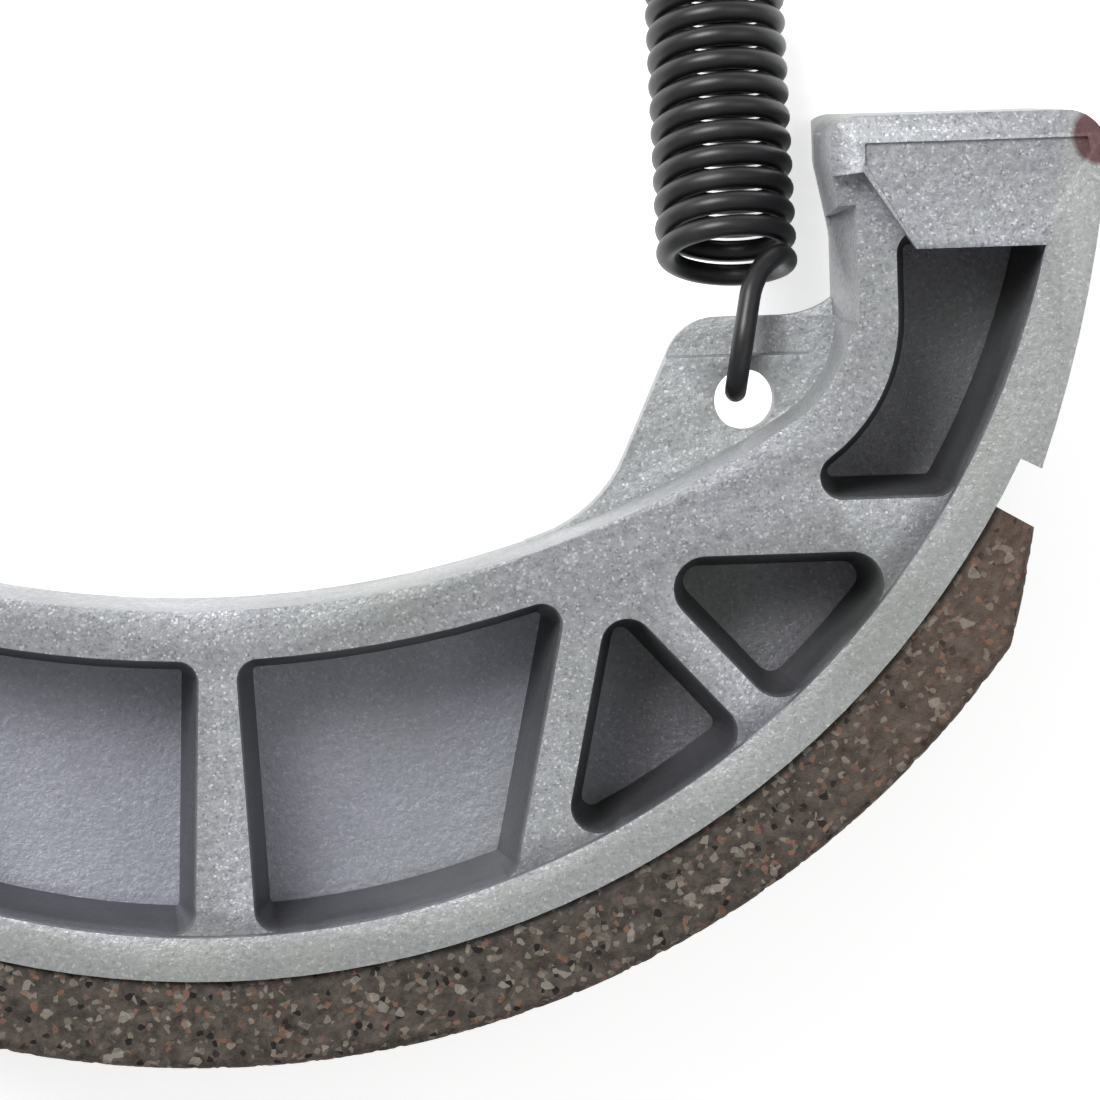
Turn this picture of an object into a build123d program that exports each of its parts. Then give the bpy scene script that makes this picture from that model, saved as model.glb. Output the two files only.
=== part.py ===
from math import asin, atan2, cos, degrees, radians, sin, sqrt, tan
import os

from build123d import *

# One drum brake shoe of a small motorcycle, lying on its back face, in millimetres.
# Z is the drum's axis, and z = 0 is the back face of the rim. X and Y are zero on that axis.
# The shoe's mid-line points along -Y, its cam end is on the +X side, its anchor end on the -X side.

# Drum and rim
drum_radius = 55.0
lining_thickness = 5.0
rim_radius = drum_radius - lining_thickness
rim_thickness = 2.4
shoe_width = 25.0
parting_height = shoe_width / 2

# Web: its inner edge is one large arc, and walls lean away from the parting plane
web_edge_radius = 60.0
web_edge_depth = 29.5
front_draft = 0.8
back_draft = 3.2

# Depths below the rim's face, the same on both sides of the shoe
frame_recess = 1.7
pocket_depth = 8.3

# Frame round the pockets, and the ribs between them
frame_width = 2.9
mid_rib = 1.9
mid_rib_foot = 3.4
cross_rib = 2.2
cross_rib_line = ((21.3, -26.5), (16.5, -48.5))
strut = 2.0
strut_line = ((20.8, -26.5), (34.8, -42.0))
end_rib = 2.85
end_rib_y = -26.1
pocket_corners = (1.2, 1.5, 1.8, 1.3)
cam_pocket_top = -9.9
back_pocket_top = -13.0
anchor_pocket_top = -12.0

# Neck and cam end
neck_x = 35.3
neck_corner = 6.5
neck_top = -10.4
neck_relief_x = 36.15
neck_relief_draft = 4.0
neck_relief_top = -8.3
neck_relief_foot = -15.0
frame_ramp_y = -6.6
bevel_width = 1.5
bevel_depth = 0.7
pad_recess = 0.25
pad_hollow_corners = ((36.5, -5.0), (48.8, -5.0), (48.9, -5.8), (45.9, -10.3), (38.9, -10.3), (36.5, -6.2))
ejector_mark = 2.4
ejector_depth = 0.3
ejector_mark_at = (42.4, -9.2)
pad_x = 34.5
pad_bulge_y = -6.3
pad_corner = 1.7
pad_bend = 3.0
end_face_y = -3.5
cam_edge_x = 50.1
cam_edge_corner = 2.2
land_middle = (48.35, -14.6)
shoulder_radius = 51.3
shoulder_angle = 26.9

# Anchor end
anchor_pin_radius = 6.0
anchor_pin_x = 42.3
anchor_face_y = -3.0

# Spring tabs, each with an eye
tab_thickness = 3.2
eye_x = 30.1
eye_y = -19.3
eye_radius = 1.72
tab_top_y = -14.65
tab_lean_x = 26.75
tab_lean_angle = 65.5
tab_root = 8.0
tab_corner = 3.0
tab_rise = 1.0
tab_rise_run = 2.9

# Lining
lining_half_angle = 59.7
lining_inset = 0.3
lining_taper_drop = 2.4
lining_taper_angle = 6.7

# Return spring, hooked in the eye of the cam end's tab
wire = 1.25
coil_diameter = 8.0
coil_pitch = 1.42
coil_whole_turns = 12
coil_gap = 4.3
coil_x = 29.5
coil_end_angle = 20.0
hook_radius = 3.2
hook_lean = 11.0
hook_offset = 0.75
hook_y = -15.75
hook_tip = 0.8
hook_arm = 1.2
hook_rest_gap = 0.03
wire_sides = 6
turn_steps = 20
hook_steps = 10
bend_steps = 4

web_edge_centre = web_edge_radius - web_edge_depth
rim_inner_radius = rim_radius - rim_thickness
inside = 20.0
outside = rim_radius + 8.0


def on_circle(radius, angle):
    return (radius * cos(radians(angle)), radius * sin(radians(angle)))


def edge_arc_y(x, radius=web_edge_radius):
    """Height of the web's inner arc, or of one concentric with it, at x."""
    return web_edge_centre - sqrt(radius**2 - x**2)


def mirrored(points):
    return [(-x, y) for x, y in reversed(points)]


def web_outline():
    """Everything outside the inner edge of the shoe, as wide as it needs to be."""
    arc_end = (neck_x, edge_arc_y(neck_x))
    side = [arc_end, (neck_x, neck_top), (pad_x, pad_bulge_y), (pad_x, 0), (outside, 0), (outside, -outside)]
    with BuildSketch() as outline:
        with BuildLine():
            edge = Polyline(side + mirrored(side))
            ThreePointArc(edge @ 0, (0, -web_edge_depth), edge @ 1)
        make_face()
        low = outline.vertices().filter_by_position(Axis.Y, arc_end[1] - 0.01, arc_end[1] + 0.01)
        fillet(low, radius=neck_corner)
        bulge = outline.vertices().filter_by_position(Axis.Y, neck_top - 0.01, pad_bulge_y + 0.01)
        fillet(bulge, radius=pad_bend)
    return outline.sketch


def rim_outline():
    """Outer edge of the shoe, from one end face round the rim to the other."""
    shoulder = on_circle(shoulder_radius, -shoulder_angle)
    step = on_circle(rim_radius, -shoulder_angle)
    cam_corner = (cam_edge_x, end_face_y)
    anchor_corner = (-cam_edge_x, anchor_face_y)
    with BuildSketch() as outline:
        with BuildLine():
            Polyline((0, anchor_face_y), (0, end_face_y), cam_corner)
            ThreePointArc(cam_corner, land_middle, shoulder)
            Line(shoulder, step)
            ThreePointArc(step, (0, -rim_radius), (-step[0], step[1]))
            Line((-step[0], step[1]), (-shoulder[0], shoulder[1]))
            ThreePointArc((-shoulder[0], shoulder[1]), (-land_middle[0], land_middle[1]), anchor_corner)
            Line(anchor_corner, (0, anchor_face_y))
        make_face()
        corners = outline.vertices().sort_by(Axis.Y)[-4:].sort_by(Axis.X)
        fillet([corners[0], corners[-1]], radius=cam_edge_corner)
    return outline.sketch


def pocket_field(cam_top, anchor_top):
    """The pockets of one side: the field inside the frame, less its ribs."""
    with BuildSketch() as field:
        for side, top in ((1, cam_top), (-1, anchor_top)):
            frame_x = neck_x + frame_width
            frame_radius = web_edge_radius + frame_width
            corner_y = edge_arc_y(frame_x, frame_radius)
            rim_x = sqrt(rim_inner_radius**2 - top**2)
            middle = edge_arc_y(0, frame_radius)
            with BuildSketch(mode=Mode.PRIVATE) as half:
                with BuildLine():
                    halfway = (frame_x / 2, edge_arc_y(frame_x / 2, frame_radius))
                    ThreePointArc((0, middle), halfway, (frame_x, corner_y))
                    Polyline((frame_x, corner_y), (frame_x, top), (rim_x, top))
                    ThreePointArc((rim_x, top), on_circle(rim_inner_radius, -50), (0, -rim_inner_radius))
                    Line((0, -rim_inner_radius), (0, middle))
                make_face()
                fillet(half.vertices().sort_by_distance((frame_x, corner_y))[0], radius=neck_corner + frame_width)
                with BuildLine():
                    Polyline(
                        (0, middle + 1),
                        (mid_rib / 2, middle + 1),
                        (mid_rib_foot / 2, -rim_inner_radius - 1),
                        (0, -rim_inner_radius - 1),
                        close=True,
                    )
                make_face(mode=Mode.SUBTRACT)
                ribs = (
                    (*cross_rib_line, cross_rib),
                    (*strut_line, strut),
                    ((inside, end_rib_y), (rim_radius, end_rib_y), end_rib),
                )
                for start, end, width in ribs:
                    middle_point = ((start[0] + end[0]) / 2, (start[1] + end[1]) / 2)
                    run = (end[0] - start[0], end[1] - start[1])
                    with Locations(Location(middle_point, degrees(atan2(run[1], run[0])))):
                        Rectangle(sqrt(run[0] ** 2 + run[1] ** 2), width, mode=Mode.SUBTRACT)
            with BuildSketch(mode=Mode.PRIVATE) as rounded:
                for pocket, radius in zip(half.faces().sort_by(Axis.X), pocket_corners):
                    with BuildSketch(mode=Mode.PRIVATE) as shrunk:
                        add(pocket)
                        offset(amount=-radius, mode=Mode.REPLACE)
                        offset(amount=radius, kind=Kind.ARC, mode=Mode.REPLACE)
                    add(shrunk.sketch)
            if side == 1:
                add(rounded.sketch)
            else:
                mirror(rounded.sketch, about=Plane.YZ)
    return field.sketch


def frame_field(cam_end, anchor_end):
    """The sunken frame of one side, from pad to pad, open towards the middle of the drum."""
    cam_arc = (sqrt(rim_inner_radius**2 - cam_end**2), cam_end)
    anchor_arc = (-sqrt(rim_inner_radius**2 - anchor_end**2), anchor_end)
    with BuildSketch() as field:
        with BuildLine():
            ThreePointArc(cam_arc, (0, -rim_inner_radius), anchor_arc)
            Polyline(
                anchor_arc,
                (-neck_x - frame_width - 1, anchor_end),
                (-neck_x - 1, neck_relief_top),
                (-inside, neck_relief_top),
                (inside, neck_relief_top),
                (neck_x + 1.1, frame_ramp_y),
                (neck_x + frame_width + 1, cam_end),
                cam_arc,
            )
        make_face()
    return field.sketch


def neck_relief():
    """Where the front half of the neck's wall leans back, between the pad and the tab."""
    with BuildSketch() as relief:
        with BuildLine():
            Polyline(
                (inside, neck_relief_top),
                (neck_relief_x, neck_relief_top),
                (neck_relief_x, neck_relief_foot),
                (neck_x - 1, neck_relief_foot - 2.6),
                (inside, neck_relief_foot - 2.6),
                close=True,
            )
        make_face()
    return relief.sketch


def tab_outline():
    """A spring tab beside the neck, with a wide rounded root where it leaves the web's inner arc."""
    foot_x = tab_lean_x - (tab_top_y + web_edge_depth) / tan(radians(tab_lean_angle))
    rise = (neck_x + 0.1, tab_top_y + tab_rise)
    with BuildSketch() as ear:
        with BuildLine():
            lower = Polyline(
                (neck_x + 1, rise[1]),
                (neck_x + 1, -web_edge_depth),
                (foot_x, -web_edge_depth),
                (tab_lean_x, tab_top_y),
                (neck_x - tab_rise_run, tab_top_y),
            )
            TangentArc(lower @ 1, rise, tangent=(1, 0))
            Line(rise, lower @ 0)
        make_face()
        fillet(ear.vertices().sort_by_distance((tab_lean_x, tab_top_y))[0], radius=tab_corner)
    with BuildSketch() as root:
        add(web_outline())
        add(ear.sketch)
        with Locations((foot_x + 1, tab_top_y - 10)):
            Rectangle(16, 12, mode=Mode.INTERSECT)
        offset(amount=tab_root, kind=Kind.ARC, mode=Mode.REPLACE)
        offset(amount=-tab_root, kind=Kind.ARC, mode=Mode.REPLACE)
        with Locations((foot_x + 6, tab_top_y - 10)):
            Rectangle(16.8, 12, mode=Mode.INTERSECT)
    with BuildSketch() as tab:
        add(ear.sketch)
        add(root.sketch)
        with Locations((eye_x, eye_y)):
            Circle(eye_radius, mode=Mode.SUBTRACT)
    return tab.sketch


def pad_hollow():
    """The shallow tapering hollow in the cam pad's front face."""
    with BuildSketch() as hollow:
        with BuildLine():
            Polyline(pad_hollow_corners, close=True)
        make_face()
    return hollow.sketch


front_face = Plane.XY.offset(shoe_width)
front_frame = Plane.XY.offset(shoe_width - frame_recess)
middle_plane = Plane.XY.offset(parting_height)

# Cutters for the back face, made on the front face and turned over
with BuildPart() as back_cut:
    with BuildSketch(front_face):
        add(frame_field(back_pocket_top - 1, anchor_pocket_top - 1))
    extrude(amount=-frame_recess)
    with BuildSketch(front_face):
        with Locations(ejector_mark_at):
            Circle(ejector_mark)
    extrude(amount=-ejector_depth)
    with BuildSketch(front_frame):
        add(pocket_field(back_pocket_top, anchor_pocket_top))
    extrude(amount=-pocket_depth)
    mirror(about=middle_plane, mode=Mode.REPLACE)

with BuildPart() as shoe_casting:
    with BuildSketch(middle_plane) as web:
        add(web_outline())
    extrude(amount=-parting_height, taper=front_draft)
    mirror(about=middle_plane, mode=Mode.REPLACE)
    extrude(web.sketch, amount=-parting_height, taper=back_draft)
    with BuildSketch(middle_plane):
        add(tab_outline())
        mirror(about=Plane.YZ)
    extrude(amount=tab_thickness / 2, both=True)
    with BuildSketch():
        add(rim_outline())
    extrude(amount=shoe_width, mode=Mode.INTERSECT)
    with BuildSketch(front_face):
        add(frame_field(cam_pocket_top - 1, anchor_pocket_top - 1))
    extrude(amount=-frame_recess, mode=Mode.SUBTRACT)
    with BuildSketch(front_frame):
        add(pocket_field(cam_pocket_top, anchor_pocket_top))
    extrude(amount=-pocket_depth, mode=Mode.SUBTRACT)
    with BuildSketch(front_face):
        add(neck_relief())
    extrude(amount=-parting_height, taper=neck_relief_draft, mode=Mode.SUBTRACT)
    add(back_cut.part, mode=Mode.SUBTRACT)
    with BuildSketch(front_face):
        add(pad_hollow())
    extrude(amount=-pad_recess, mode=Mode.SUBTRACT)
    # Bevels along the cam pad's contact face and inner side, front and back
    with BuildSketch(Plane.YZ.offset(pad_x)):
        for face, way in ((shoe_width, -1), (0, 1)):
            with BuildLine():
                Polyline(
                    (end_face_y - bevel_width, face),
                    (end_face_y, face + way * bevel_depth),
                    (end_face_y, face),
                    close=True,
                )
            make_face()
    extrude(amount=inside, mode=Mode.SUBTRACT)
    with BuildSketch(Plane.XZ.offset(-end_face_y)):
        for face, way in ((shoe_width, -1), (0, 1)):
            with BuildLine():
                Polyline(
                    (pad_x - 1, face),
                    (pad_x + bevel_width, face),
                    (pad_x, face + way * bevel_depth),
                    (pad_x - 1, face + way * bevel_depth),
                    close=True,
                )
            make_face()
    extrude(amount=end_face_y - frame_ramp_y, mode=Mode.SUBTRACT)
    with BuildSketch():
        with Locations((pad_x, end_face_y)):
            Rectangle(2 * pad_corner, 2 * pad_corner)
        with Locations((pad_x + pad_corner, end_face_y - pad_corner)):
            Circle(pad_corner, mode=Mode.SUBTRACT)
    extrude(amount=shoe_width, mode=Mode.SUBTRACT)
    with Locations((-anchor_pin_x, 0)):
        Hole(anchor_pin_radius)
shoe_casting.part.label = "shoe_casting"

with BuildPart() as friction_lining:
    end = lining_half_angle - 90
    right_end = [
        on_circle(rim_radius, end),
        on_circle(drum_radius - lining_taper_drop, end),
        on_circle(drum_radius, end - lining_taper_angle),
    ]
    left_end = mirrored(right_end)
    with BuildSketch(Plane.XY.offset(lining_inset)):
        with BuildLine():
            Polyline(right_end)
            ThreePointArc(right_end[2], (0, -drum_radius), left_end[0])
            Polyline(left_end)
            ThreePointArc(left_end[2], (0, -rim_radius), right_end[0])
        make_face()
    extrude(amount=shoe_width - 2 * lining_inset)
friction_lining.part.label = "friction_lining"

# The spring leans down from the eye until its far hook rests on the plane of the shoe's back face.
# Its path is drawn along Z from the near hook's centre, with -Y as up, and then laid in place.
coil_radius = (coil_diameter - wire) / 2
coil_turns = coil_whole_turns + (90 - coil_end_angle) / 180
coil_length = coil_turns * coil_pitch
hook_span = 2 * coil_gap + coil_length
spring_slope = asin((parting_height - hook_radius - wire / 2 - hook_rest_gap) / hook_span)
spring_plane = Plane(
    origin=(coil_x, hook_y, parting_height),
    x_dir=(1, 0, 0),
    z_dir=(0, cos(spring_slope), -sin(spring_slope)),
)


def stepped(curve, count):
    """Points along a curve at equal steps, without its end."""
    return [curve @ (step / count) for step in range(count)]


def hook_points(coil_end, coil_direction):
    """One hook, from its tip: a half circle through the eye, an arm, and two arcs bending into the coil."""
    lean = Vector(-sin(radians(hook_lean)), 0, -cos(radians(hook_lean)))
    centre = Vector(hook_offset, 0, 0)
    top = centre - Vector(0, hook_radius, 0)
    bottom = centre + Vector(0, hook_radius, 0)
    arm_end = top - lean * hook_arm
    # The two arcs touch both ends' directions, and meet midway between the ends of equal tangents
    run = coil_end - arm_end
    both = coil_direction - lean
    along = run.dot(both)
    spare = 4 - both.dot(both)
    tangent_length = (sqrt(along**2 + spare * run.dot(run)) - along) / spare
    bend_start = arm_end - lean * tangent_length
    bend_end = coil_end - coil_direction * tangent_length
    joint = (bend_start + bend_end) * 0.5
    half_circle = ThreePointArc(bottom, centre + lean * hook_radius, top)
    first_bend = TangentArc(arm_end, joint, tangent=-lean)
    second_bend = TangentArc(joint, coil_end, tangent=bend_end - bend_start)
    bends = stepped(first_bend, bend_steps) + stepped(second_bend, bend_steps)
    return [bottom - lean * hook_tip] + stepped(half_circle, hook_steps) + [top] + bends


# The wire goes in short straight steps, so that its many turns have few facets
coil = Edge.make_helix(coil_pitch, coil_length, coil_radius, center=(0, 0, coil_gap))
coil = coil.rotate(Axis.Z, -coil_end_angle)
near_points = hook_points(coil @ 0, coil % 0)
far_points = [Vector(-point.X, point.Y, hook_span - point.Z) for point in reversed(near_points)]
wire_points = near_points + stepped(coil, round(turn_steps * coil_turns)) + [coil @ 1] + far_points

with BuildPart() as return_spring:
    with BuildLine() as wire_line:
        Polyline(*[spring_plane.from_local_coords(point) for point in wire_points])
    with BuildSketch(Plane(origin=wire_line.line @ 0, z_dir=wire_line.line % 0)):
        RegularPolygon(wire / 2, wire_sides)
    sweep(path=wire_line.line, transition=Transition.RIGHT)
return_spring.part.label = "return_spring"

os.makedirs("parts", exist_ok=True)
for piece in (shoe_casting.part, friction_lining.part, return_spring.part):
    export_step(piece, f"parts/{piece.label}.step")
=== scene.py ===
import math

import bmesh
import bpy
import numpy as np
from mathutils import Matrix, Vector


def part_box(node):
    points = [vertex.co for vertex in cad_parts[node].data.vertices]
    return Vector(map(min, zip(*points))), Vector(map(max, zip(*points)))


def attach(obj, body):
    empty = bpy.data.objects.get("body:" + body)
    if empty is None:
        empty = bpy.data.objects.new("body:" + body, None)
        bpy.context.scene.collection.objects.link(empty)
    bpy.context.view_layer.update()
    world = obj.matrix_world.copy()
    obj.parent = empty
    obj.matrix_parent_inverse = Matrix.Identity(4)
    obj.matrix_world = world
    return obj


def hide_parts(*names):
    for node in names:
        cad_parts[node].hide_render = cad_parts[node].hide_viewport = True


# A drum brake shoe lying on its back face, seen from above.
# Lengths are in metres, and Z is the drum's axis.
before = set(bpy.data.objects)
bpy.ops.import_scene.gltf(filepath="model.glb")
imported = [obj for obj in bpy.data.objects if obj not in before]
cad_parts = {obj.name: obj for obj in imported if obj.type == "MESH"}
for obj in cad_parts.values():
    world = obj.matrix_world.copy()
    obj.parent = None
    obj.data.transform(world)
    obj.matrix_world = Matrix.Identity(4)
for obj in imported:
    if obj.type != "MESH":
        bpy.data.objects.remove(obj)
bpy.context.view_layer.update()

MM = 0.001
rng = np.random.default_rng(7)

# Main sizes, from the frame
casting_low, casting_high = (np.array(c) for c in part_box("shoe_casting"))
lining_low, lining_high = (np.array(c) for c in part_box("friction_lining"))
shoe_width = casting_high[2] - casting_low[2]
parting_height = casting_low[2] + shoe_width / 2
drum_radius = -lining_low[1]
rim_radius = -casting_low[1]

# Levels of the casting's faces
frame_recess = 1.7 * MM
pocket_depth = 8.3 * MM
front_floor = casting_high[2] - frame_recess - pocket_depth
back_floor = casting_low[2] + frame_recess + pocket_depth

# The web's inner arc, and the far side of the neck's frame
arc_radius = 60.0 * MM
arc_centre_y = 30.5 * MM
neck_outside_x = 37.3 * MM
dab_centre = (49.6 * MM, -5.0 * MM)


def make_object(name, vertices, faces, material, body="root"):
    """A smooth mesh object at the origin, riding on the body."""
    mesh = bpy.data.meshes.new(name)
    mesh.from_pydata([tuple(v) for v in vertices], [], [tuple(int(i) for i in f) for f in faces])
    mesh.polygons.foreach_set("use_smooth", [True] * len(mesh.polygons))
    mesh.materials.append(material)
    mesh.update()
    obj = bpy.data.objects.new(name, mesh)
    bpy.context.scene.collection.objects.link(obj)
    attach(obj, body)
    return obj


# Materials

class Nodes:
    """Short ways to build a material's node tree."""

    def __init__(self, name):
        self.material = bpy.data.materials.new(name)
        self.material.use_nodes = True
        self.tree = self.material.node_tree
        self.shader = self.tree.nodes["Principled BSDF"]
        self.coords = self.tree.nodes.new("ShaderNodeTexCoord").outputs["Object"]

    def node(self, kind, **settings):
        made = self.tree.nodes.new(kind)
        for key, value in settings.items():
            setattr(made, key, value)
        return made

    def link(self, source, target):
        self.tree.links.new(source, target)

    def noise(self, scale, detail=3.0, roughness=0.6):
        made = self.node("ShaderNodeTexNoise")
        made.inputs["Scale"].default_value = scale
        made.inputs["Detail"].default_value = detail
        made.inputs["Roughness"].default_value = roughness
        self.link(self.coords, made.inputs["Vector"])
        return made.outputs["Fac"]

    def cells(self, scale, output="Color"):
        made = self.node("ShaderNodeTexVoronoi")
        made.inputs["Scale"].default_value = scale
        self.link(self.coords, made.inputs["Vector"])
        return made.outputs[output]

    def ramp(self, source, low, high):
        """0 below low, 1 above high, and straight between."""
        made = self.node("ShaderNodeMapRange")
        made.inputs["From Min"].default_value = low
        made.inputs["From Max"].default_value = high
        self.link(source, made.inputs["Value"])
        return made.outputs["Result"]

    def math(self, operation, a, b):
        made = self.node("ShaderNodeMath", operation=operation)
        for socket, value in zip(made.inputs, (a, b)):
            if isinstance(value, (int, float)):
                socket.default_value = value
            else:
                self.link(value, socket)
        return made.outputs["Value"]

    def mix(self, factor, first, second):
        """first where factor is 0, second where it is 1; each is a colour or a socket."""
        made = self.node("ShaderNodeMix", data_type="RGBA")
        if isinstance(factor, (int, float)):
            made.inputs["Factor"].default_value = factor
        else:
            self.link(factor, made.inputs["Factor"])
        for name, value in (("A", first), ("B", second)):
            socket = [s for s in made.inputs if s.name == name and s.type == "RGBA"][0]
            if isinstance(value, tuple):
                socket.default_value = (*value, 1.0)
            else:
                self.link(value, socket)
        return [s for s in made.outputs if s.type == "RGBA"][0]

    def position(self):
        """The three parts of the point's place, in metres."""
        made = self.node("ShaderNodeSeparateXYZ")
        self.link(self.coords, made.inputs["Vector"])
        return made.outputs["X"], made.outputs["Y"], made.outputs["Z"]

    def bump(self, height, distance, strength=1.0, below=None):
        made = self.node("ShaderNodeBump")
        made.inputs["Distance"].default_value = distance
        made.inputs["Strength"].default_value = strength
        self.link(height, made.inputs["Height"])
        if below is not None:
            self.link(below, made.inputs["Normal"])
        return made.outputs["Normal"]

    def finish(self, colour, roughness, metallic=0.0, normal=None, specular=0.5):
        for name, value in (("Base Color", colour), ("Roughness", roughness), ("Metallic", metallic)):
            socket = self.shader.inputs[name]
            if isinstance(value, (int, float)):
                socket.default_value = value
            elif isinstance(value, tuple):
                socket.default_value = (*value, 1.0)
            else:
                self.link(value, socket)
        self.shader.inputs["Specular IOR Level"].default_value = specular
        if normal is not None:
            self.link(normal, self.shader.inputs["Normal"])
        return self.material


def distance_from(n, x, y, centre_y):
    """How far a point is from the axis through (0, centre_y)."""
    beyond = n.math("SUBTRACT", y, centre_y)
    squares = n.math("ADD", n.math("MULTIPLY", x, x), n.math("MULTIPLY", beyond, beyond))
    return n.math("SQRT", squares, 0.0)


def flecks(n, scale):
    """Three unlike random values for each small cell of the surface."""
    parts = n.node("ShaderNodeSeparateColor")
    n.link(n.cells(scale), parts.inputs["Color"])
    return parts.outputs["Red"], parts.outputs["Green"], parts.outputs["Blue"]


def pocket_mask(n, x, y, from_axis):
    """1 in the pockets: inside the frame's arc or outside the neck, inside the rim, clear of the ends."""
    from_arc = distance_from(n, x, y, arc_centre_y)
    inside_frame = n.ramp(from_arc, arc_radius + 1.0 * MM, arc_radius + 2.0 * MM)
    beside_neck = n.ramp(n.math("ABSOLUTE", x, 0.0), neck_outside_x, neck_outside_x + 0.5 * MM)
    inside_rim = n.ramp(from_axis, rim_radius - 0.8 * MM, rim_radius - 1.4 * MM)
    pockets = n.math("MULTIPLY", n.math("MAXIMUM", inside_frame, beside_neck), clear_of_ends(n, y))
    return n.math("MULTIPLY", pockets, inside_rim)


def clear_of_ends(n, y):
    return n.ramp(y, -8.6 * MM, -9.6 * MM)


def paint_dab(n, x, y, z, cloud):
    """1 in the ragged round dab of paint on the pad's outer corner, worked out in millimetres."""
    across = n.math("MULTIPLY", n.math("SUBTRACT", x, dab_centre[0]), 1 / MM)
    along = n.math("MULTIPLY", n.math("SUBTRACT", y, dab_centre[1]), 1 / MM)
    squares = n.math("ADD", n.math("MULTIPLY", across, across), n.math("MULTIPLY", along, along))
    dab = n.ramp(n.math("ADD", squares, n.math("MULTIPLY", cloud, 2.5)), 4.2, 3.2)
    return n.math("MULTIPLY", dab, n.ramp(z, casting_high[2] - 1.6 * MM, casting_high[2] - 0.6 * MM))


def alloy_material():
    """Dull die-cast alloy: fine grain with painted glints, grime and painted shade in the pockets, painted
    shade on their walls and at the rim's foot, and greenish stains.
    """
    dark_grain = (0.20, 0.206, 0.225)
    light_grain = (0.385, 0.395, 0.42)
    haze = (0.26, 0.272, 0.262)
    # The bright flecks are painted glints; the small pocket floor, wall and rim-foot colours below are
    # painted shade
    painted_glint = (0.74, 0.74, 0.77)
    pit = (0.08, 0.08, 0.09)
    big_floor = (0.27, 0.275, 0.33)
    small_pocket_grime_and_shade = (0.072, 0.068, 0.082)
    wall_shade = (0.045, 0.045, 0.052)
    rim_foot_shade = (0.07, 0.07, 0.08)
    land = (0.36, 0.375, 0.335)
    green_stain = (0.20, 0.215, 0.175)
    red_paint = (0.085, 0.014, 0.018)
    n = Nodes("cast_alloy")
    x, y, z = n.position()
    grain = n.noise(2600, 4, 0.7)
    cloud = n.noise(160, 4, 0.6)
    patch = n.noise(45, 3, 0.55)
    bright, dark, _ = flecks(n, 8000)
    base = n.mix(n.ramp(grain, 0.3, 0.7), dark_grain, light_grain)
    base = n.mix(n.math("MULTIPLY", n.ramp(cloud, 0.42, 0.72), 0.6), base, haze)
    # Painted glints: sparse bright flecks lighten the grain
    base = n.mix(n.math("MULTIPLY", n.ramp(bright, 0.86, 1.0), 0.5), base, painted_glint)
    base = n.mix(n.math("MULTIPLY", n.ramp(dark, 0.86, 1.0), 0.5), base, pit)
    # Grime and painted shade gather with depth below either frame; the painted shade is darkest in the small
    # pockets near the ends
    from_axis = distance_from(n, x, y, 0.0)
    from_middle = n.math("ABSOLUTE", n.math("SUBTRACT", z, parting_height), 0.0)
    pockets = pocket_mask(n, x, y, from_axis)
    depth = n.math("MULTIPLY", n.ramp(from_middle, 10.0 * MM, 3.5 * MM), 0.62)
    ends = n.ramp(n.math("ABSOLUTE", x, 0.0), 19.0 * MM, 24.0 * MM)
    base = n.mix(n.math("MULTIPLY", depth, pockets), base, n.mix(ends, big_floor, small_pocket_grime_and_shade))
    # Their walls get painted shade, darker still
    steepness = n.node("ShaderNodeSeparateXYZ")
    n.link(n.node("ShaderNodeNewGeometry").outputs["Normal"], steepness.inputs["Vector"])
    wall = n.ramp(n.math("ABSOLUTE", steepness.outputs["Z"], 0.0), 0.8, 0.35)
    below_frame = n.ramp(from_middle, 10.6 * MM, 9.4 * MM)
    wall = n.math("MULTIPLY", n.math("MULTIPLY", wall, pockets), n.math("MULTIPLY", below_frame, 0.72))
    base = n.mix(wall, base, wall_shade)
    # The foot of the rim gets painted shade where the frame meets it, and the rim's own face is light
    before_rim = n.ramp(from_axis, 45.9 * MM, 47.3 * MM)
    rim_foot = n.math("MULTIPLY", before_rim, n.ramp(from_axis, 48.2 * MM, 47.7 * MM))
    rim_foot = n.math("MULTIPLY", rim_foot, n.ramp(from_middle, 12.2 * MM, 11.3 * MM))
    rim_foot = n.math("MULTIPLY", n.math("MULTIPLY", rim_foot, clear_of_ends(n, y)), 0.6)
    base = n.mix(rim_foot, base, rim_foot_shade)
    on_rim = n.ramp(from_axis, 47.5 * MM, 47.9 * MM)
    rim_land = n.math("MULTIPLY", on_rim, n.ramp(from_middle, 11.6 * MM, 12.3 * MM))
    base = n.mix(n.math("MULTIPLY", rim_land, 0.4), base, land)
    base = n.mix(n.math("MULTIPLY", n.ramp(patch, 0.52, 0.68), 0.35), base, green_stain)
    base = n.mix(n.math("MULTIPLY", paint_dab(n, x, y, z, cloud), 0.85), base, red_paint)
    rough = n.math("ADD", n.math("MULTIPLY", n.ramp(cloud, 0.2, 0.9), 0.2), 0.38)
    normal = n.bump(grain, 0.06 * MM, 0.7)
    normal = n.bump(n.noise(420, 3, 0.6), 0.12 * MM, 0.5, normal)
    return n.finish(base, rough, 0.55, normal)


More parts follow.
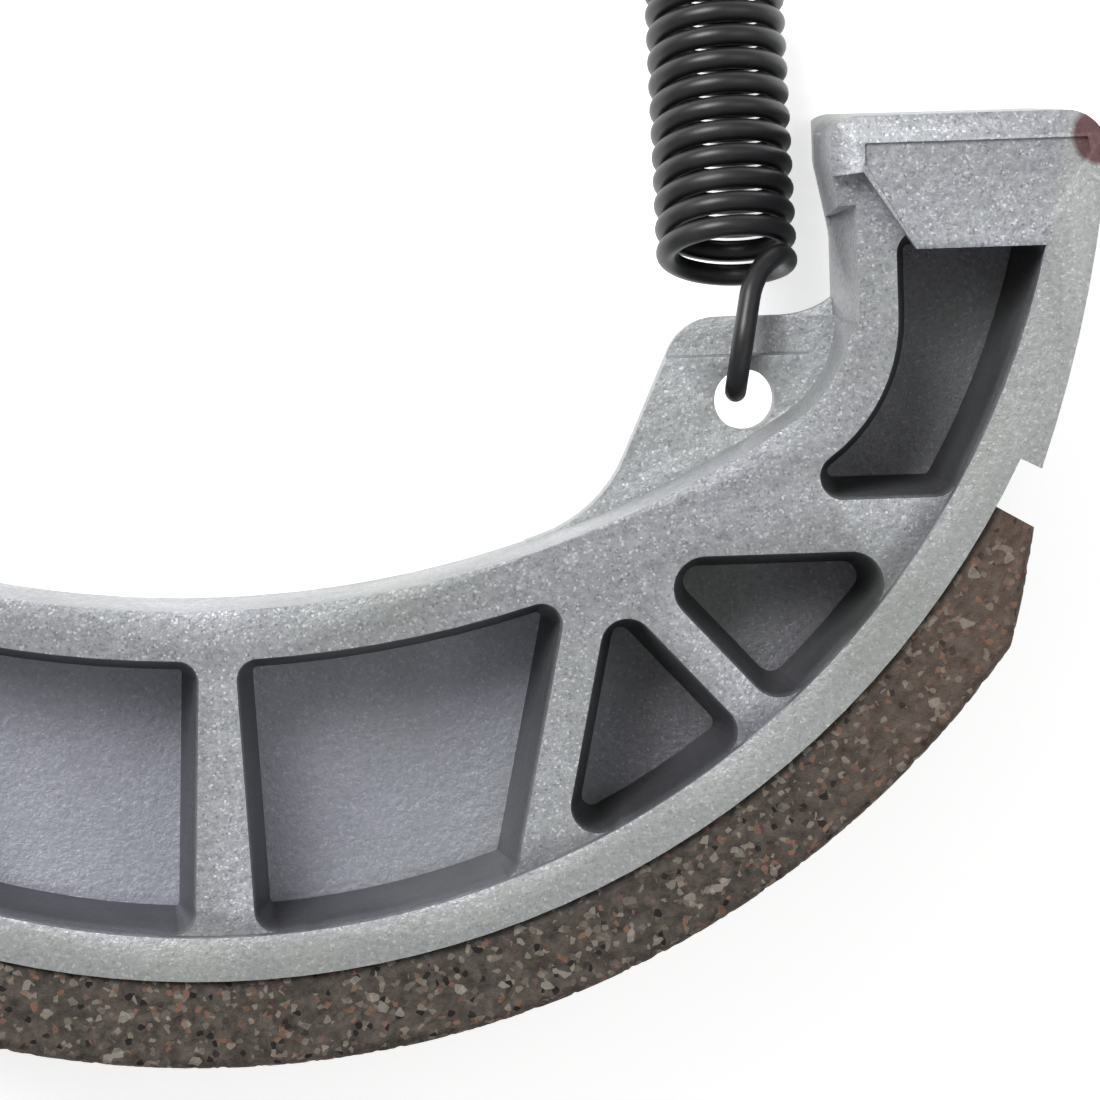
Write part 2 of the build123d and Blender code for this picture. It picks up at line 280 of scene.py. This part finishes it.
def lining_material():
    """Brown-grey friction compound with tan, reddish and dark flecks and pale crumbs."""
    dark_binder = (0.022, 0.018, 0.015)
    light_binder = (0.10, 0.083, 0.071)
    tan_fleck = (0.165, 0.14, 0.115)
    red_fleck = (0.15, 0.082, 0.058)
    dark_fleck = (0.012, 0.010, 0.010)
    pale_crumb = (0.30, 0.275, 0.24)
    cam_end_tint = (0.16, 0.10, 0.075)
    n = Nodes("lining")
    x = n.position()[0]
    grain = n.noise(900, 5, 0.75)
    tan, red, dark = flecks(n, 3300)
    pale = flecks(n, 2100)[0]
    base = n.mix(n.ramp(grain, 0.3, 0.72), dark_binder, light_binder)
    base = n.mix(n.ramp(tan, 0.86, 0.97), base, tan_fleck)
    base = n.mix(n.ramp(red, 0.93, 0.98), base, red_fleck)
    base = n.mix(n.ramp(dark, 0.95, 0.98), base, dark_fleck)
    base = n.mix(n.math("MULTIPLY", n.ramp(pale, 0.94, 0.98), 0.5), base, pale_crumb)
    # Redder and lighter towards the cam end
    base = n.mix(n.math("MULTIPLY", n.ramp(x, 30 * MM, 46 * MM), 0.3), base, cam_end_tint)
    normal = n.bump(grain, 0.35 * MM, 0.8)
    normal = n.bump(n.cells(1500, "Distance"), 0.2 * MM, 0.6, normal)
    return n.finish(base, 0.88, 0.0, normal, 0.25)


def spring_material():
    """Glossy black coated wire."""
    n = Nodes("spring_steel")
    smudge = n.noise(350, 3, 0.6)
    rough = n.math("ADD", n.math("MULTIPLY", smudge, 0.2), 0.3)
    base = n.mix(n.ramp(smudge, 0.55, 0.8), (0.009, 0.009, 0.010), (0.022, 0.021, 0.022))
    return n.finish(base, rough, 0.0, n.bump(n.noise(1500, 3), 0.03 * MM, 0.4), 0.5)


def floor_material():
    """White paper that glows a little, so that it stays white round a soft shadow."""
    n = Nodes("floor")
    n.shader.inputs["Emission Color"].default_value = (1.0, 1.0, 1.0, 1.0)
    n.shader.inputs["Emission Strength"].default_value = 0.6
    return n.finish((0.86, 0.86, 0.86), 0.9, 0.0, None, 0.1)


# Casting: the frame's own form, with leaning pocket walls and soft cast edges

wall_lean = 0.95 * MM
edge_radius = 0.6 * MM
edge_angle = math.radians(29)


def is_floor(height):
    return min(abs(height - front_floor), abs(height - back_floor)) < 0.02 * MM


def lean_pocket_walls(mesh):
    """Moves each floor's corners in from the wall, so that the walls lean as a cast pocket's do."""
    shifts = {}
    for vertex in mesh.verts:
        if not is_floor(vertex.co.z):
            continue
        ways = []
        for face in vertex.link_faces:
            way = face.normal
            if abs(way.z) < 0.1 and all((way - other).length > 0.02 for other in ways):
                ways.append(way.copy())
        if not ways:
            continue
        total = sum(ways, Vector())
        spread = total.length_squared / len(ways)
        shifts[vertex] = total * (wall_lean / max(spread, 0.6))
    for vertex, shift in shifts.items():
        vertex.co += shift


def build_casting(material):
    mesh = bmesh.new()
    mesh.from_mesh(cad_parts["shoe_casting"].data)
    bmesh.ops.remove_doubles(mesh, verts=mesh.verts, dist=0.002 * MM)
    bmesh.ops.dissolve_limit(
        mesh, angle_limit=math.radians(0.6), verts=mesh.verts, edges=mesh.edges, delimit=set()
    )
    mesh.normal_update()
    lean_pocket_walls(mesh)
    data = bpy.data.meshes.new("casting_surface")
    mesh.to_mesh(data)
    mesh.free()
    data.polygons.foreach_set("use_smooth", [True] * len(data.polygons))
    data.materials.clear()
    data.materials.append(material)
    obj = bpy.data.objects.new("casting_surface", data)
    bpy.context.scene.collection.objects.link(obj)
    bevel = obj.modifiers.new("soft_edges", "BEVEL")
    bevel.width = edge_radius
    bevel.segments = 3
    bevel.limit_method = "ANGLE"
    bevel.angle_limit = edge_angle
    bevel.use_clamp_overlap = True
    bevel.harden_normals = True
    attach(obj, "root")
    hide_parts("shoe_casting")
    return obj


# Lining: a rounded bar bent round the rim, with a coarse surface and a chipped outer edge

lining_half_angle = math.radians(59.7)
taper_angle = math.radians(6.7)
taper_drop = 2.4 * MM
lining_margin = 0.12 * MM


def smooth_noise(shape, coarse, generator):
    """Values in 0 to 1 that change smoothly over a grid: random ones on a coarser grid, eased between."""
    small = generator.random((coarse[0] + 2, coarse[1] + 2))
    u = np.linspace(0, coarse[0], shape[0], endpoint=False)
    v = np.linspace(0, coarse[1], shape[1], endpoint=False)
    iu, iv = u.astype(int), v.astype(int)
    fu, fv = (u - iu)[:, None], (v - iv)[None, :]
    fu, fv = fu * fu * (3 - 2 * fu), fv * fv * (3 - 2 * fv)
    a = small[iu][:, iv]
    b = small[iu + 1][:, iv]
    c = small[iu][:, iv + 1]
    d = small[iu + 1][:, iv + 1]
    return (a * (1 - fu) + b * fu) * (1 - fv) + (c * (1 - fu) + d * fu) * fv


def lining_section(count_r, count_z):
    """Points round a unit square, each as (part of the thickness, part of the width)."""
    r_steps = np.linspace(0, 1, count_r, endpoint=False)
    z_steps = np.linspace(0, 1, count_z, endpoint=False)
    top = np.stack([r_steps, np.ones(count_r)], 1)
    outer = np.stack([np.ones(count_z), 1 - z_steps], 1)
    bottom = np.stack([1 - r_steps, np.zeros(count_r)], 1)
    inner = np.stack([np.zeros(count_z), z_steps], 1)
    return np.concatenate([top, outer, bottom, inner])


def build_lining(material):
    """Rings of section points at even angles; outer corners are chipped and faces pitted, always inwards."""
    section = lining_section(26, 44)
    rings = 560
    angles = np.linspace(-lining_half_angle, lining_half_angle, rings)
    from_end = lining_half_angle - np.abs(angles)
    full = drum_radius - lining_margin
    drop = taper_drop * np.clip(1 - from_end / taper_angle, 0, 1)
    outer = full - drop
    inner = np.full(rings, rim_radius + 0.01 * MM)
    radial = inner[:, None] + (outer - inner)[:, None] * section[:, 0][None, :]
    low = lining_low[2] + lining_margin
    high = lining_high[2] - lining_margin
    height = np.repeat((low + (high - low) * section[:, 1])[None, :], rings, 0)
    shape = radial.shape
    coarse = smooth_noise(shape, (260, 70), rng)
    fine = rng.random(shape)
    pits = np.clip(coarse * 0.6 + fine * 0.5 - 0.62, 0, 1) * 0.30 * MM
    to_outer = (outer[:, None] - radial)
    to_front = high - height
    to_back = height - low
    chips = smooth_noise(shape, (330, 20), rng) ** 3 * 0.55 * MM
    # Corners at the drum surface are knocked back by a rounding of changing size
    rounding = 0.30 * MM + chips
    for gap in (to_front, to_back):
        near = np.clip(1 - to_outer / rounding, 0, 1) * np.clip(1 - gap / rounding, 0, 1)
        shift = near * rounding * 0.45
        radial = radial - shift
        height = np.where(gap is to_front, height - shift, height + shift)
    on_front = section[:, 1][None, :] > 0.999
    on_back = section[:, 1][None, :] < 0.001
    on_outer = section[:, 0][None, :] > 0.999
    height = height - np.where(on_front, pits, 0) + np.where(on_back, pits, 0)
    radial = radial - np.where(on_outer, pits * 0.6, 0)
    turned = angles[:, None]
    x = radial * np.sin(turned)
    y = -radial * np.cos(turned)
    vertices = np.stack([x, y, height], 2).reshape(-1, 3)
    count = len(section)
    i = np.arange(rings - 1)[:, None] * count
    j = np.arange(count)[None, :]
    k = (j + 1) % count
    faces = np.stack([i + j, i + count + j, i + count + k, i + k], 2).reshape(-1, 4).tolist()
    faces.append(list(range(count)))
    faces.append(list(range((rings - 1) * count, rings * count))[::-1])
    obj = make_object("lining_surface", vertices, faces, material)
    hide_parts("friction_lining")
    return obj


# Spring: a round wire along the same path as the frame's many-sided one

wire_radius = 0.625 * MM
coil_radius = 3.375 * MM
coil_pitch = 1.42 * MM
coil_end = math.radians(20.0)
coil_turns = 12 + (math.pi / 2 - coil_end) / math.pi
coil_gap = 4.3 * MM
coil_length = coil_turns * coil_pitch
hook_radius = 3.15 * MM
hook_lean = math.radians(11.0)
hook_offset = 0.75 * MM
hook_tip = 0.8 * MM
hook_arm = 1.2 * MM
hook_rest_gap = 0.08 * MM
hook_centre = np.array([29.5 * MM, -15.75 * MM, parting_height])
hook_span = 2 * coil_gap + coil_length
spring_slope = math.asin((shoe_width / 2 - hook_radius - wire_radius - hook_rest_gap) / hook_span)


def arc_points(start, tangent, end, count):
    """Points on the circular arc that leaves start along tangent and reaches end."""
    chord = end - start
    across = chord - tangent * chord.dot(tangent)
    length = np.linalg.norm(across)
    side = across / length
    radius = chord.dot(chord) / (2 * length)
    turn = 2 * math.atan2(length, chord.dot(tangent))
    steps = np.linspace(0, turn, count, endpoint=False)[:, None]
    return start + tangent * radius * np.sin(steps) + side * radius * (1 - np.cos(steps))


def spring_path():
    """The wire's middle line: hook, two arcs, helix, and the same turned end for end."""
    lean = np.array([-math.sin(hook_lean), 0, -math.cos(hook_lean)])
    down = np.array([0, 1.0, 0])
    centre = np.array([hook_offset, 0, 0])
    turns = np.linspace(0, math.pi, 40)[:, None]
    half_circle = centre + hook_radius * (down * np.cos(turns) + lean * np.sin(turns))
    tip = centre + down * hook_radius - lean * hook_tip
    arm_end = centre - down * hook_radius - lean * hook_arm
    angle = np.linspace(0, 2 * math.pi * coil_turns, round(coil_turns * 56)) - coil_end
    rise = coil_gap + coil_length * np.linspace(0, 1, len(angle))
    helix = np.stack([coil_radius * np.cos(angle), coil_radius * np.sin(angle), rise], 1)
    into = np.array([
        -math.sin(-coil_end) * coil_radius,
        math.cos(-coil_end) * coil_radius,
        coil_pitch / (2 * math.pi),
    ])
    into /= np.linalg.norm(into)
    run = helix[0] - arm_end
    both = into - lean
    spare = 4 - both.dot(both)
    along = run.dot(both)
    reach = (math.sqrt(along**2 + spare * run.dot(run)) - along) / spare
    first = arm_end - lean * reach
    second = helix[0] - into * reach
    middle = (first + second) / 2
    onwards = (second - first) / np.linalg.norm(second - first)
    bends = np.concatenate([
        arc_points(arm_end, -lean, middle, 16),
        arc_points(middle, onwards, helix[0], 16),
    ])
    near = np.concatenate([[tip], half_circle, bends])
    far = near[::-1] * np.array([-1, 1, -1]) + np.array([0, 0, hook_span])
    local = np.concatenate([near, helix, far])
    slope_sin, slope_cos = math.sin(spring_slope), math.cos(spring_slope)
    world_x = local[:, 0]
    world_y = -local[:, 1] * slope_sin + local[:, 2] * slope_cos
    world_z = -local[:, 1] * slope_cos - local[:, 2] * slope_sin
    return hook_centre + np.stack([world_x, world_y, world_z], 1)


def tube(path, radius, sides):
    """A round tube along a path, its section carried on without twist, with slightly domed ends."""
    tangents = np.gradient(path, axis=0)
    tangents /= np.linalg.norm(tangents, axis=1)[:, None]
    normal = np.cross(tangents[0], [1.0, 0, 0])
    around = np.linspace(0, 2 * math.pi, sides, endpoint=False)[:, None]
    rings = []
    for point, tangent in zip(path, tangents):
        normal = normal - tangent * normal.dot(tangent)
        normal /= np.linalg.norm(normal)
        side = np.cross(tangent, normal)
        rings.append(point + radius * (normal * np.cos(around) + side * np.sin(around)))
    rings[0] = path[0] + (rings[0] - path[0]) * 0.86
    rings[-1] = path[-1] + (rings[-1] - path[-1]) * 0.86
    vertices = np.concatenate(rings)
    i = np.arange(len(path) - 1)[:, None] * sides
    j = np.arange(sides)[None, :]
    k = (j + 1) % sides
    faces = np.stack([i + j, i + k, i + sides + k, i + sides + j], 2).reshape(-1, 4).tolist()
    faces.append(list(range(sides))[::-1])
    faces.append(list(range((len(path) - 1) * sides, len(path) * sides)))
    return vertices, faces


def build_spring(material):
    vertices, faces = tube(spring_path(), wire_radius - 0.012 * MM, 20)
    obj = make_object("spring_wire", vertices, faces, material)
    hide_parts("return_spring")
    return obj


# Stage: floor, lights and camera

camera_height = 513 * MM
camera_target = Vector((18.5 * MM, -26.8 * MM, casting_high[2]))
view_width = 60.5 * MM
shoe_turn = math.radians(1.9)


def build_floor():
    size = 3.0
    mesh = bpy.data.meshes.new("floor")
    corners = [(-size, -size, 0), (size, -size, 0), (size, size, 0), (-size, size, 0)]
    mesh.from_pydata(corners, [], [(0, 1, 2, 3)])
    mesh.materials.append(floor_material())
    obj = bpy.data.objects.new("floor", mesh)
    bpy.context.scene.collection.objects.link(obj)


def build_light(name, place, target, size, power):
    data = bpy.data.lights.new(name, "AREA")
    data.shape = "RECTANGLE"
    data.size, data.size_y = size
    data.energy = power
    obj = bpy.data.objects.new(name, data)
    obj.location = place
    obj.rotation_euler = (Vector(target) - Vector(place)).to_track_quat("-Z", "Y").to_euler()
    bpy.context.scene.collection.objects.link(obj)


def build_world():
    world = bpy.data.worlds.new("studio")
    world.use_nodes = True
    background = world.node_tree.nodes["Background"]
    background.inputs["Color"].default_value = (1.0, 1.0, 1.0, 1.0)
    background.inputs["Strength"].default_value = 0.42
    bpy.context.scene.world = world


def build_camera():
    """Above the drum's axis, looking a little sideways at the part of the shoe that the picture shows."""
    data = bpy.data.cameras.new("camera")
    place = Vector((0, 0, casting_high[2] + camera_height))
    forward = (camera_target - place).normalized()
    across = Vector((math.cos(shoe_turn), -math.sin(shoe_turn), 0))
    across = (across - forward * across.dot(forward)).normalized()
    up = across.cross(forward)
    data.sensor_width = 36
    data.lens = 36 * (camera_target - place).length / view_width
    data.clip_start = 0.01
    obj = bpy.data.objects.new("camera", data)
    obj.matrix_world = Matrix.Translation(place) @ Matrix((across, up, -forward)).transposed().to_4x4()
    bpy.context.scene.collection.objects.link(obj)
    bpy.context.scene.camera = obj


build_casting(alloy_material())
build_lining(lining_material())
build_spring(spring_material())
build_floor()
build_light("key", (-0.35, 0.45, 0.75), (0.01, -0.025, 0.01), (0.45, 0.45), 10.5)
build_light("fill", (0.6, 0.1, 0.7), (0.01, -0.025, 0.01), (0.6, 0.6), 1.5)
build_world()
build_camera()

scene = bpy.context.scene
scene.view_settings.view_transform = "Standard"
